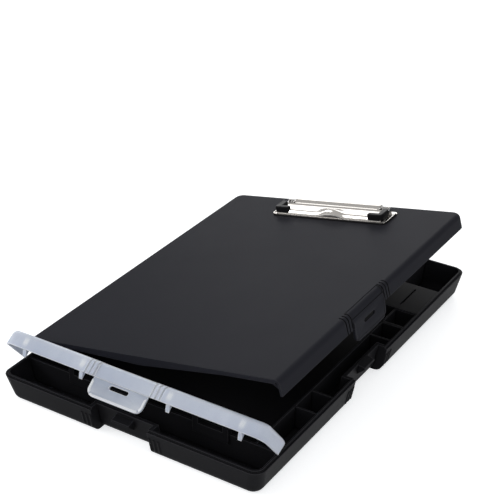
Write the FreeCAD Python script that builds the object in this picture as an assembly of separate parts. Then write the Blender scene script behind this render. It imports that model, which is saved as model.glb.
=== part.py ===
"""Storage clipboard box: a shallow tray with a hinged clipboard lid and a pen compartment.

Frame: origin at the centre of the tray's underside, +X towards the latch side, +Y towards the
clip end, +Z up. Lengths are millimetres. Every piece is drawn with the box shut, and the pieces
that ride on the lid or on the pen cover are then swung to the angles at which the box stands.
"""
import FreeCAD, Part
import math
import os

V = FreeCAD.Vector
os.makedirs("parts", exist_ok=True)

# Overall sizes
box_length = 350.0
box_width = 241.0
base_height = 23.3
lid_height = 13.5
corner_radius = 9.5
lid_open_angle = 10.7
cover_open_angle = 51.5

# Clearances
parting_gap = 0.3
moving_gap = 0.35
pin_clearance = 0.05
seat_clearance = 0.02
overrun = 2.0
edge_tolerance = 0.01

# Tray shell
tray_wall = 3.0
tray_floor = 2.2
tray_draft = 5.0
tray_edge_radius = 8.0
tray_inner_radius = 5.0
rim_lip_height = 1.5
rim_lip_thickness = 1.1

# Pen compartment and the cover that shuts it
cover_depth = 36.8
lid_front_gap = 1.0
cover_hinge_inset = 32.0
cover_hinge_drop = 5.4
cover_post_reach = 8.0
partition_thickness = 2.0
hinge_rail_rise = 0.8

# Accessory strip along the latch side
strip_wall_inset = 24.5
strip_wall_thickness = 1.6
strip_wall_drop = 1.5
strip_wall_end_share = 0.2629
divider_shares = [-0.2429, -0.1714, 0.1043, 0.17, 0.2391]
divider_thickness = 1.6
thick_divider_thickness = 3.2
platform_inset = 40.5
platform_front_share = 0.2414
platform_back_share = 0.3657
platform_drop = 0.8
platform_skin = 2.0
platform_groove_width = 1.8
platform_groove_depth = 1.6
platform_groove_length = 30.0

# Latch recesses in the tray and the tabs that hang in them
latch_recess_depth = 8.0
latch_recess_width = 53.0
latch_tab_width = 50.0
latch_tab_thickness = 1.8
latch_tab_corner = 6.0
front_latch_centre = -4.2
side_latch_centre = -5.6
cover_tab_drop = 14.8
lid_tab_drop = 12.0
lid_tab_top = 8.0
tab_slot_length = 17.5
tab_slot_height = 3.6
cover_slot_drop = 3.8
lid_slot_drop = 0.4
tab_bead_height = 0.7
tab_bead_width = 1.6
catch_side_gap = 0.7
catch_reach_gap = 0.25
catch_nose_height = 2.2
rib_count = 3
rib_pitch = 4.0
rib_radius = 1.3
rib_bottom = 6.0
rib_top = 18.0
edge_groove_width = 1.5
edge_groove_depth = 0.7
edge_panel_depth = 0.4
edge_groove_reach = 6.5

# Finger grip on the hinge side
grip_scallop_count = 7
grip_scallop_land = 1.6
grip_scallop_depth = 1.5
grip_bottom = 2.0
grip_top = 19.0

# Lid hinge
hinge_zone_inset = 69.5
hinge_zone_length = 53.0
hinge_knuckle_count = 5
hinge_knuckle_radius = 3.0
hinge_axis_offset = 0.2
hinge_pin_radius = 1.2

# Lid shell
lid_skirt = 1.6
lid_plate = 2.0
lid_draft = 1.0
lid_edge_radius = 4.5
lid_lip_thickness = 1.6
lid_lip_drop = 3.6
lid_lip_middle_drop = 7.7
lid_lip_centre = -8.0
lid_lip_slope_length = 80.0
lid_lip_bend_length = 10.0
lid_gusset_width = 14.0
lid_gusset_thickness = 1.6
lid_gusset_rise = 3.5

# Pen cover shell and its hinges
cover_skirt = 1.6
cover_plate = 1.8
cover_edge_radius = 5.0
cover_inner_radius = 4.2
cover_peg_shares = [-0.415, -0.1826, 0.1519, 0.4129]
cover_peg_width = 3.2
cover_peg_depth = 4.0
cover_peg_drop = 3.0
cover_peg_lean = 2.2
cover_recess_inset = 35.5
cover_recess_width = 11.0
cover_recess_depth = 1.0
cover_dip_radius = 14.0
cover_hinge_share = 0.2448
cover_hinge_length = 32.0
cover_post_length = 5.0
cover_knuckle_radius = 2.6
cover_pin_radius = 1.0

# Clip
clip_width = 118.0
clip_centre = 5.0
clip_depth = 27.5
clip_back_inset = 16.0
clip_sheet = 1.0
clip_rim_height = 2.0
clip_corner_radius = 4.0
clip_pivot_inset = 4.5
clip_pivot_height = 4.2
clip_pin_radius = 1.5
clip_pin_head_radius = 2.4
clip_pin_head_length = 1.0
clip_roof_radius = 3.4
clip_roof_inset = 15.0
clip_roof_skirt = 1.2
clip_cheek_radius = 2.8
clip_ear_inset = 7.0
clip_ear_radius = 3.2
clip_ear_foot = 7.0
clip_lever_side_inset = 7.0
clip_lever_front_inset = 2.6
clip_lever_rise = 1.6
clip_crown_place = 3.0
clip_crown_half_width = 16.0
clip_crown_depth = 9.0
clip_crown_rise = 3.0
clip_rivet_side_inset = 22.0
clip_rivet_front_inset = 12.0
clip_rivet_shank_radius = 1.8
clip_rivet_head_radius = 3.0
clip_rivet_head_height = 1.3
clip_washer_radius = 5.0
clip_washer_thickness = 1.0
grip_arm_length = 14.5
grip_leg_length = 15.0
grip_arm_width = 4.8
grip_leg_width = 5.4
grip_cover_thickness = 1.1
grip_top_thickness = 2.6
grip_corner_radius = 2.6
grip_edge_radius = 0.8

# Clip springs
spring_wire_radius = 0.5
spring_coil_radius = 2.4
spring_pitch = 1.5
spring_turns = 3
spring_side_inset = 11.25
spring_leg_length = 5.9

# Places worked out from the sizes above
half_width = box_width / 2
half_length = box_length / 2
lid_top = base_height + lid_height
rim_ledge = tray_wall - rim_lip_thickness
inner_half_width = half_width - tray_wall
inner_half_length = half_length - tray_wall
cover_back = cover_depth - half_length
lid_front = cover_back + lid_front_gap
hinge_axis = V(-half_width - hinge_axis_offset, 0, base_height + parting_gap / 2)
cover_axis = V(0, cover_hinge_inset - half_length, lid_top - cover_hinge_drop)
clip_back = half_length - clip_back_inset
clip_front = clip_back - clip_depth
clip_axis = V(0, clip_back - clip_pivot_inset, lid_top + clip_pivot_height)
clip_lever_front = clip_front + clip_lever_front_inset
clip_rivet_row = clip_front + clip_rivet_front_inset
clip_rivet_place = clip_width / 2 - clip_rivet_side_inset
clip_roof_half_width = clip_width / 2 - clip_roof_inset
clip_ear_place = clip_width / 2 - clip_ear_inset
clip_lever_half_width = clip_width / 2 - clip_lever_side_inset
spring_place = clip_width / 2 - spring_side_inset
knuckle_length = hinge_zone_length / hinge_knuckle_count
hinge_zone_centre = half_length - hinge_zone_inset
grip_scallop_pitch = (2 * hinge_zone_centre - hinge_zone_length) / grip_scallop_count
grip_scallop_chord = grip_scallop_pitch - grip_scallop_land
strip_wall_place = half_width - strip_wall_inset
strip_wall_end = box_length * strip_wall_end_share
divider_places = [box_length * share for share in divider_shares]
platform_inner_side = half_width - platform_inset
platform_front = box_length * platform_front_share
platform_back = box_length * platform_back_share
cover_hinge_centre = box_width * cover_hinge_share


def inset_at(z):
    """How far the tray's drafted wall stands inside the rim's outline at a height."""
    return tray_draft * (1 - z / base_height)


def outline(width, length, radius, z):
    """A closed rounded rectangle about the Z axis."""
    a = width / 2
    b = length / 2
    k = radius * (1 - math.sqrt(0.5))
    corners = [(1, 1), (-1, 1), (-1, -1), (1, -1)]
    edges = []
    last = None
    first = None
    for sx, sy in corners:
        on_side = V(sx * a, sy * (b - radius), z)
        middle = V(sx * (a - k), sy * (b - k), z)
        on_end = V(sx * (a - radius), sy * b, z)
        start, stop = (on_side, on_end) if sx * sy > 0 else (on_end, on_side)
        if last is not None:
            edges.append(Part.LineSegment(last, start).toShape())
        else:
            first = start
        edges.append(Part.Arc(start, middle, stop).toShape())
        last = stop
    edges.append(Part.LineSegment(last, first).toShape())
    return Part.Wire(edges)


def slab(width, length, radius, low, high):
    """An upright block with a rounded rectangular outline."""
    face = Part.Face(outline(width, length, radius, low))
    return face.extrude(V(0, 0, high - low))


def taper(width_low, length_low, radius_low, low, width_high, length_high, radius_high, high):
    """A drafted block between two rounded rectangles."""
    lower = outline(width_low, length_low, radius_low, low)
    upper = outline(width_high, length_high, radius_high, high)
    return Part.makeLoft([lower, upper], True, True)


def block(x0, x1, y0, y1, z0, z1):
    return Part.makeBox(x1 - x0, y1 - y0, z1 - z0, V(x0, y0, z0))


def rod(radius, start, stop):
    direction = stop.sub(start)
    return Part.makeCylinder(radius, direction.Length, start, direction)


def prism(points, along):
    """A flat outline of points swept along a vector."""
    wire = Part.makePolygon(points + [points[0]])
    return Part.Face(wire).extrude(along)


def fused(shapes):
    whole = shapes[0]
    for shape in shapes[1:]:
        whole = whole.fuse(shape)
    return whole.removeSplitter()


def edges_at(shape, z):
    """Edges that lie flat at one height."""
    found = []
    for edge in shape.Edges:
        box = edge.BoundBox
        if abs(box.ZMin - z) < edge_tolerance and abs(box.ZMax - z) < edge_tolerance:
            found.append(edge)
    return found


def with_lid(shape):
    """Swing a piece that rides on the lid to the angle at which the lid stands."""
    moved = shape.copy()
    moved.rotate(hinge_axis, V(0, -1, 0), lid_open_angle)
    return moved


def with_clip(shape):
    """Move a piece of the clip to its place across the lid and swing it with the lid."""
    moved = shape.copy()
    moved.translate(V(clip_centre, 0, 0))
    return with_lid(moved)


def with_cover(shape):
    """Swing a piece that rides on the pen cover to the angle at which the cover stands."""
    moved = shape.copy()
    moved.rotate(cover_axis, V(-1, 0, 0), cover_open_angle)
    return moved


def save(shape, name):
    solids = shape.Solids
    whole = solids[0] if len(solids) == 1 else Part.makeCompound(solids)
    if not whole.isValid():
        print("not valid:", name)
    whole.exportStep("parts/" + name + ".step")
    print(name, "solids", len(solids), "volume", round(whole.Volume, 1))


def recess_profile(depth, low, radius, top):
    """Section of a latch recess, as distances inward from the rim's face and heights."""
    foot = depth + inset_at(radius)
    k = radius * (1 - math.sqrt(0.5))
    return [(depth, top), (foot, radius), (foot + k, k + low), (foot + radius, low)]


def recess_tool(depth, width, low, radius, reach):
    """The space outside a recessed stretch of wall, drawn across the front and centred on X."""
    top = base_height + rim_lip_height + overrun
    marks = recess_profile(depth, low, radius + low, top)
    places = [V(-width / 2, depth_in - half_length, height) for depth_in, height in marks]
    wall_line = Part.LineSegment(places[0], places[1]).toShape()
    foot_arc = Part.Arc(places[1], places[2], places[3]).toShape()
    under = V(-width / 2, places[3].y, low - reach)
    outer_low = V(-width / 2, -half_length - reach, low - reach)
    outer_high = V(-width / 2, -half_length - reach, top)
    others = [places[3], under, outer_low, outer_high, places[0]]
    lines = [Part.LineSegment(a, b).toShape() for a, b in zip(others, others[1:])]
    section = Part.Face(Part.Wire([wall_line, foot_arc] + lines))
    return section.extrude(V(width, 0, 0))


def to_side(shape):
    """Turn a shape drawn at the front round to the latch side."""
    turned = shape.copy()
    turned.rotate(V(0, 0, 0), V(0, 0, 1), 90)
    turned.translate(V(half_width - half_length, 0, 0))
    return turned


def at_front(shape):
    moved = shape.copy()
    moved.translate(V(front_latch_centre, 0, 0))
    return moved


def at_side(shape):
    moved = to_side(shape)
    moved.translate(V(0, side_latch_centre, 0))
    return moved


def tray_blocks():
    """The tray's outer block and the cavity in it, both stepped in round the latch recesses."""
    bottom = inset_at(0)
    outer = taper(box_width - 2 * bottom, box_length - 2 * bottom, corner_radius, 0,
                  box_width, box_length, corner_radius, base_height)
    outer = outer.makeFillet(tray_edge_radius, edges_at(outer, 0))
    lip = slab(box_width - 2 * rim_ledge, box_length - 2 * rim_ledge, corner_radius - rim_ledge,
               base_height - rim_lip_height, base_height + rim_lip_height)
    outer = outer.fuse(lip)
    foot = tray_wall + inset_at(tray_floor)
    head = tray_wall
    top = base_height + rim_lip_height + overrun
    cavity = taper(box_width - 2 * foot, box_length - 2 * foot, corner_radius - head, tray_floor,
                   box_width - 2 * head, box_length - 2 * head, corner_radius - head, top)
    cavity = cavity.makeFillet(tray_inner_radius, edges_at(cavity, tray_floor))
    hollow = recess_tool(latch_recess_depth, latch_recess_width, 0, tray_edge_radius, overrun)
    kept = recess_tool(latch_recess_depth + tray_wall, latch_recess_width + 2 * tray_wall,
                       tray_floor, tray_inner_radius, overrun)
    for place in (at_front, at_side):
        outer = outer.cut(place(hollow))
        cavity = cavity.cut(place(kept))
    return outer, cavity


def scallops():
    """Cutters for the row of shallow hollows that makes the finger grip on the hinge side."""
    half_chord = grip_scallop_chord / 2
    radius = (half_chord ** 2 + grip_scallop_depth ** 2) / (2 * grip_scallop_depth)
    first = -grip_scallop_pitch * (grip_scallop_count - 1) / 2
    cutters = []
    for index in range(grip_scallop_count):
        y = first + index * grip_scallop_pitch
        centre_x = -half_width + grip_scallop_depth - radius
        low = V(centre_x + inset_at(grip_bottom), y, grip_bottom)
        high = V(centre_x + inset_at(grip_top), y, grip_top)
        cutters.append(rod(radius, low, high))
    return cutters


def latch_ribs():
    """Upright half-round ribs at both ends of a latch recess, drawn at the front."""
    ribs = []
    half = latch_recess_width / 2 + rib_radius
    for side in (-1, 1):
        for index in range(rib_count):
            x = side * (half + index * rib_pitch)
            low = V(x, inset_at(rib_bottom) - half_length + rib_radius / 2, rib_bottom)
            high = V(x, inset_at(rib_top) - half_length + rib_radius / 2, rib_top)
            ribs.append(rod(rib_radius, low, high))
    return ribs


def edge_tool(depth, width, edge_radius):
    """Space outside a surface set in from the rounded top edge, drawn across the front."""
    side = depth - half_length
    turn = lid_draft + edge_radius - half_length
    radius = edge_radius - depth
    k = radius * math.sqrt(0.5)
    level = lid_top - edge_radius
    start = -width / 2
    low = base_height - overrun
    high = lid_top + overrun
    outside = -half_length - overrun
    reach = edge_groove_reach - half_length
    marks = [V(start, side, low), V(start, turn - radius, level), V(start, turn - k, level + k),
             V(start, turn, level + radius), V(start, reach, level + radius), V(start, reach, high),
             V(start, outside, high), V(start, outside, low)]
    lines = [Part.LineSegment(a, b).toShape() for a, b in zip(marks[3:], marks[4:] + marks[:1])]
    edges = [Part.LineSegment(marks[0], marks[1]).toShape(),
             Part.Arc(marks[1], marks[2], marks[3]).toShape()]
    return Part.Face(Part.Wire(edges + lines)).extrude(V(width, 0, 0))


def edge_grooves(edge_radius):
    """Cutters at both ends of a latch tab: grooves over the top edge and a shallow panel."""
    cutters = [edge_tool(edge_panel_depth, latch_tab_width + 2 * moving_gap, edge_radius)]
    for side in (-1, 1):
        for index in range(rib_count):
            groove = edge_tool(edge_groove_depth, edge_groove_width, edge_radius)
            groove.translate(V(side * (latch_recess_width / 2 + index * rib_pitch), 0, 0))
            cutters.append(groove)
    return cutters


def catch(slot_centre):
    """Wedge on the recessed wall whose nose stands behind a tab's slot, drawn at the front."""
    reach = latch_tab_thickness + catch_reach_gap - half_length
    root = latch_recess_depth + rib_radius - half_length
    nose = catch_nose_height / 2
    half = tab_slot_length / 2 - catch_side_gap
    drop = latch_recess_depth - latch_tab_thickness
    points = [V(-half, root, slot_centre - nose - drop), V(-half, reach, slot_centre - nose),
              V(-half, reach, slot_centre + nose / 2), V(-half, root, slot_centre + 2 * nose)]
    return prism(points, V(2 * half, 0, 0))


def knuckle(index, zone_centre):
    """One barrel of the lid hinge."""
    start = zone_centre - hinge_zone_length / 2 + index * knuckle_length + moving_gap / 2
    low = V(hinge_axis.x, start, hinge_axis.z)
    return rod(hinge_knuckle_radius, low, low.add(V(0, knuckle_length - moving_gap, 0)))


def knuckle_room(index, zone_centre):
    """The space round one barrel that the other half of the hinge leaves free."""
    start = zone_centre - hinge_zone_length / 2 + index * knuckle_length - moving_gap / 2
    low = V(hinge_axis.x, start, hinge_axis.z)
    stop = low.add(V(0, knuckle_length + moving_gap, 0))
    return rod(hinge_knuckle_radius + moving_gap, low, stop)


def hinge_bore(zone_centre):
    half = hinge_zone_length / 2 + overrun
    low = V(hinge_axis.x, zone_centre - half, hinge_axis.z)
    return rod(hinge_pin_radius + pin_clearance, low, V(low.x, zone_centre + half, low.z))


def platform(cavity):
    """Raised pad at the clip end of the accessory strip, hollow underneath, with a groove."""
    top = base_height - platform_drop
    right = inner_half_width + tray_wall / 2
    pad = block(platform_inner_side, right, platform_front, platform_back, tray_floor / 2, top)
    skin = platform_skin
    hollow = block(platform_inner_side + skin, right, platform_front + skin, platform_back - skin,
                   tray_floor, top - skin)
    flat_end = half_width - tray_draft - tray_edge_radius - skin
    mouth = block(platform_inner_side + skin, flat_end, platform_front + skin,
                  platform_back - skin, -overrun, tray_floor + tray_inner_radius)
    middle = (platform_front + platform_back) / 2
    half = platform_groove_length / 2
    groove = block(strip_wall_place, strip_wall_place + platform_groove_width,
                   middle - half, middle + half, top - platform_groove_depth, top + overrun)
    return pad.cut(groove), [hollow.common(cavity), mouth]


def strip_walls():
    """The long inner wall, the dividers, and the wall that closes the corner cell."""
    top = base_height - strip_wall_drop
    low = tray_floor / 2
    half = strip_wall_thickness / 2
    partition_back = cover_axis.y
    walls = [block(strip_wall_place - half, strip_wall_place + half, partition_back,
                   strip_wall_end, low, top)]
    for place in divider_places:
        thick = thick_divider_thickness if place == divider_places[3] else divider_thickness
        walls.append(block(strip_wall_place, inner_half_width + tray_wall / 2,
                           place - thick / 2, place + thick / 2, low, top))
    walls.append(block(platform_inner_side, platform_inner_side + strip_wall_thickness,
                       platform_back - strip_wall_thickness, inner_half_length + tray_wall / 2,
                       low, top))
    return walls


def cover_posts():
    """Posts on the partition that hold the cover's pins."""
    pieces = []
    radius = cover_knuckle_radius
    for side in (-1, 1):
        for end in (-1, 1):
            outer = side * cover_hinge_centre + end * cover_hinge_length / 2
            inner = outer - end * cover_post_length
            x0, x1 = min(outer, inner), max(outer, inner)
            pieces.append(rod(radius, V(x0, cover_axis.y, cover_axis.z),
                              V(x1, cover_axis.y, cover_axis.z)))
            pieces.append(block(x0, x1, cover_axis.y - radius, cover_axis.y + radius,
                                base_height - cover_post_reach, cover_axis.z))
        rail = [side * (cover_hinge_centre + end * cover_hinge_length / 2) for end in (-1, 1)]
        pieces.append(block(min(rail), max(rail), cover_axis.y - radius, cover_axis.y + radius,
                            base_height - cover_post_reach, base_height + hinge_rail_rise))
    return pieces


def partition():
    half = partition_thickness / 2
    reach = inner_half_width + tray_wall / 2
    return block(-reach, reach, cover_axis.y - half, cover_axis.y + half,
                 tray_floor / 2, base_height)


def base_tray():
    outer, cavity = tray_blocks()
    pad, pad_hollows = platform(cavity)
    whole = outer.cut(cavity)
    for piece in [pad, partition()] + strip_walls():
        whole = whole.fuse(piece.common(outer))
    added = cover_posts()
    added += [at_front(rib) for rib in latch_ribs()] + [at_side(rib) for rib in latch_ribs()]
    added.append(at_front(catch(base_height + parting_gap - cover_slot_drop)))
    added.append(at_side(catch(base_height - lid_slot_drop)))
    removed = scallops() + pad_hollows
    for zone in (-hinge_zone_centre, hinge_zone_centre):
        for index in range(hinge_knuckle_count):
            if index % 2 == 0:
                added.append(knuckle(index, zone))
            else:
                removed.append(knuckle_room(index, zone))
        removed.append(hinge_bore(zone))
    for piece in added:
        whole = whole.fuse(piece)
    for piece in removed:
        whole = whole.cut(piece)
    for side in (-1, 1):
        half = cover_hinge_length / 2 + overrun
        start = V(side * cover_hinge_centre - half, cover_axis.y, cover_axis.z)
        whole = whole.cut(rod(cover_pin_radius + seat_clearance, start, start.add(V(2 * half, 0, 0))))
    return whole.removeSplitter()


def shell_above_rim(skirt, plate, edge_radius, draft):
    """Hollow cap over the whole tray, later parted into the lid and the pen cover."""
    low = base_height + parting_gap
    outer = taper(box_width, box_length, corner_radius, low,
                  box_width - 2 * draft, box_length - 2 * draft, corner_radius - draft, lid_top)
    outer = outer.makeFillet(edge_radius, edges_at(outer, lid_top))
    inner = taper(box_width - 2 * skirt, box_length - 2 * skirt, corner_radius - skirt,
                  low - overrun, box_width - 2 * (skirt + draft), box_length - 2 * (skirt + draft),
                  corner_radius - skirt - draft, lid_top - plate)
    inner = inner.makeFillet(edge_radius - plate, edges_at(inner, lid_top - plate))
    return outer.cut(inner)


def front_lip():
    """Turned-down lip along the lid's front edge, deepest near the middle."""
    reach = half_width - lid_edge_radius
    top = lid_top - lid_plate / 2
    shallow = lid_top - lid_lip_drop
    deep = lid_top - lid_lip_middle_drop
    bend = lid_lip_bend_length
    rise = (deep - shallow) * bend / lid_lip_slope_length
    y = lid_front
    middle = lid_lip_centre
    marks = [V(-reach, y, top), V(-reach, y, shallow), V(middle - lid_lip_slope_length, y, shallow),
             V(middle - bend, y, deep - rise), V(middle + bend, y, deep - rise),
             V(middle + lid_lip_slope_length, y, shallow), V(reach, y, shallow), V(reach, y, top)]
    lines = [Part.LineSegment(a, b).toShape() for a, b in zip(marks[:3], marks[1:4])]
    lines.append(Part.Arc(marks[3], V(middle, y, deep), marks[4]).toShape())
    lines += [Part.LineSegment(a, b).toShape() for a, b in zip(marks[4:], marks[5:] + marks[:1])]
    return Part.Face(Part.Wire(lines)).extrude(V(0, lid_lip_thickness, 0))


def lid_shell():
    """Clipboard lid: plate with skirts on three sides and a window for the latch tab."""
    cap = shell_above_rim(lid_skirt, lid_plate, lid_edge_radius, lid_draft)
    kept = block(-half_width - overrun, half_width + overrun, lid_front, half_length + overrun,
                 base_height - overrun, lid_top + overrun)
    lid = cap.common(kept)
    added = [front_lip()]
    for side in (-1, 1):
        outer_x = side * (half_width - lid_skirt / 2)
        inner_x = side * (half_width - lid_gusset_width)
        back = lid_front + lid_gusset_thickness
        points = [V(outer_x, back, lid_top - lid_edge_radius),
                  V(inner_x, back, lid_top - lid_plate / 2),
                  V(outer_x - side * lid_edge_radius, back, lid_top - lid_plate / 2)]
        foot = V(outer_x, back, base_height + lid_gusset_rise)
        gusset = prism([foot, points[0], points[2], points[1]], V(0, lid_gusset_thickness, 0))
        added.append(gusset.common(taper(box_width, box_length, corner_radius, base_height,
                                         box_width - 2 * lid_draft, box_length - 2 * lid_draft,
                                         corner_radius - lid_draft, lid_top)))
    for zone in (-hinge_zone_centre, hinge_zone_centre):
        for index in range(hinge_knuckle_count):
            if index % 2 == 1:
                added.append(knuckle(index, zone))
    whole = lid
    for piece in added:
        whole = whole.fuse(piece)
    for zone in (-hinge_zone_centre, hinge_zone_centre):
        for index in range(0, hinge_knuckle_count, 2):
            whole = whole.cut(knuckle_room(index, zone))
        whole = whole.cut(hinge_bore(zone))
    half = latch_tab_width / 2 + moving_gap
    window = block(half_width - lid_edge_radius, half_width + overrun,
                   side_latch_centre - half, side_latch_centre + half,
                   base_height - overrun, base_height + lid_tab_top)
    whole = whole.cut(window)
    for cutter in edge_grooves(lid_edge_radius):
        whole = whole.cut(at_side(cutter))
    for side in (-1, 1):
        low = V(clip_centre + side * clip_rivet_place, clip_rivet_row, lid_top - lid_plate - overrun)
        whole = whole.cut(rod(clip_rivet_shank_radius + seat_clearance, low,
                              V(low.x, low.y, lid_top + overrun)))
    return whole.removeSplitter()


def tab_outline(width, top, bottom, radius, outer, thickness):
    """Flat tab with rounded lower corners, drawn at the front, its outer face at a given Y."""
    a = width / 2
    k = radius * (1 - math.sqrt(0.5))
    marks = [V(-a, outer, top), V(-a, outer, bottom + radius), V(-a + k, outer, bottom + k),
             V(-a + radius, outer, bottom), V(a - radius, outer, bottom), V(a - k, outer, bottom + k),
             V(a, outer, bottom + radius), V(a, outer, top)]
    edges = [Part.LineSegment(marks[0], marks[1]).toShape(),
             Part.Arc(marks[1], marks[2], marks[3]).toShape(),
             Part.LineSegment(marks[3], marks[4]).toShape(),
             Part.Arc(marks[4], marks[5], marks[6]).toShape(),
             Part.LineSegment(marks[6], marks[7]).toShape(),
             Part.LineSegment(marks[7], marks[0]).toShape()]
    return Part.Face(Part.Wire(edges)).extrude(V(0, thickness, 0))


def tab_slot(centre_z):
    """Obround cutter for a tab's slot, drawn at the front."""
    end = tab_slot_height / 2
    half = tab_slot_length / 2 - end
    y0 = -half_length - overrun
    y1 = -half_length + latch_tab_thickness + overrun
    cutters = [block(-half, half, y0, y1, centre_z - end, centre_z + end)]
    for x in (-half, half):
        cutters.append(rod(end, V(x, y0, centre_z), V(x, y1, centre_z)))
    return fused(cutters)


def latch_tab(top, bottom, slot_centre):
    """Latch tab with a raised bead round its edge and a slot for the catch."""
    outer = -half_length
    plate = tab_outline(latch_tab_width, top, bottom, latch_tab_corner, outer, latch_tab_thickness)
    rim = tab_outline(latch_tab_width, slot_centre, bottom, latch_tab_corner,
                      outer - tab_bead_height, tab_bead_height)
    inside = tab_outline(latch_tab_width - 2 * tab_bead_width, slot_centre + overrun,
                         bottom + tab_bead_width, latch_tab_corner - tab_bead_width,
                         outer - overrun, overrun)
    tab = plate.fuse(rim.cut(inside))
    return tab.cut(tab_slot(slot_centre)).removeSplitter()


def lid_latch():
    top = base_height + lid_tab_top - moving_gap
    return at_side(latch_tab(top, base_height - lid_tab_drop, base_height - lid_slot_drop))


def cover_latch():
    top = base_height
    bottom = base_height - cover_tab_drop
    return at_front(latch_tab(top, bottom, top + parting_gap - cover_slot_drop))


def cover_recess():
    """Long shallow hollow with a half-round finger dip in the top of the pen cover."""
    end = cover_recess_width / 2
    half = half_width - cover_recess_inset - end
    middle = cover_back - cover_recess_width
    low = lid_top - cover_recess_depth
    high = lid_top + overrun
    parts = [block(-half, half, middle - end, middle + end, low, high)]
    for x in (-half, half):
        parts.append(rod(end, V(x, middle, low), V(x, middle, high)))
    dip = rod(cover_dip_radius, V(0, middle, low), V(0, middle, high))
    kept = block(-cover_dip_radius, cover_dip_radius, middle - cover_dip_radius, middle, low, high)
    parts.append(dip.common(kept))
    return fused(parts)


def pen_cover():
    """Translucent cover of the pen compartment with its skirts, ribs and hinge barrels."""
    cap = shell_above_rim(cover_skirt, cover_plate, cover_edge_radius, lid_draft)
    kept = block(-half_width - overrun, half_width + overrun, -half_length - overrun, cover_back,
                 base_height - overrun, lid_top + overrun)
    inner_edge = V(0, cover_back - cover_inner_radius, lid_top - cover_inner_radius)
    corner = block(-half_width - overrun, half_width + overrun, inner_edge.y, cover_back + overrun,
                   inner_edge.z, lid_top + overrun)
    corner = corner.cut(rod(cover_inner_radius, V(-half_width - 2 * overrun, inner_edge.y, inner_edge.z),
                            V(half_width + 2 * overrun, inner_edge.y, inner_edge.z)))
    cover = cap.common(kept).cut(corner)
    slope_top = lid_top - cover_plate
    points = [V(-half_width - overrun, cover_axis.y, base_height - overrun),
              V(-half_width - overrun, cover_axis.y, base_height + parting_gap + rim_lip_height),
              V(-half_width - overrun, cover_back, slope_top),
              V(-half_width - overrun, cover_back + overrun, slope_top),
              V(-half_width - overrun, cover_back + overrun, base_height - overrun)]
    cover = cover.cut(prism(points, V(box_width + 2 * overrun, 0, 0)))
    for cutter in edge_grooves(cover_edge_radius):
        cover = cover.cut(at_front(cutter))
    for share in cover_peg_shares:
        cover = cover.fuse(cover_peg(box_width * share))
    for side in (-1, 1):
        cover = cover.fuse(cover_barrel(side))
        half = cover_hinge_length / 2
        start = V(side * cover_hinge_centre - half, cover_axis.y, cover_axis.z)
        bore = rod(cover_pin_radius + pin_clearance, start, start.add(V(2 * half, 0, 0)))
        cover = cover.cut(bore)
    return cover.cut(cover_recess()).removeSplitter()


def cover_peg(place):
    """Locating rib inside the front skirt whose foot hangs below it."""
    front = lid_draft + cover_skirt / 2 - half_length
    back = front + cover_peg_depth
    half = cover_peg_width / 2
    low = base_height + parting_gap - cover_peg_drop
    clear = tray_wall + 2 * moving_gap - half_length
    foot = clear + cover_peg_lean
    points = [V(place - half, front, base_height + parting_gap + rim_lip_height + parting_gap),
              V(place - half, clear, base_height + parting_gap + rim_lip_height + parting_gap),
              V(place - half, clear, base_height + parting_gap),
              V(place - half, foot, low), V(place - half, foot + half, low - half),
              V(place - half, back + half, low),
              V(place - half, back + half, lid_top - cover_plate / 2),
              V(place - half, front, lid_top - cover_edge_radius)]
    return prism(points, V(cover_peg_width, 0, 0))


def cover_barrel(side):
    """Barrel under the cover's inner edge, tied to the plate by a web."""
    half = cover_hinge_length / 2 - cover_post_length - moving_gap
    centre = side * cover_hinge_centre
    start = V(centre - half, cover_axis.y, cover_axis.z)
    barrel = rod(cover_knuckle_radius, start, start.add(V(2 * half, 0, 0)))
    radius = cover_knuckle_radius
    web = block(centre - half, centre + half, cover_axis.y - radius, cover_axis.y + radius / 2,
                cover_axis.z, lid_top - cover_plate / 2)
    return barrel.fuse(web)


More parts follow.
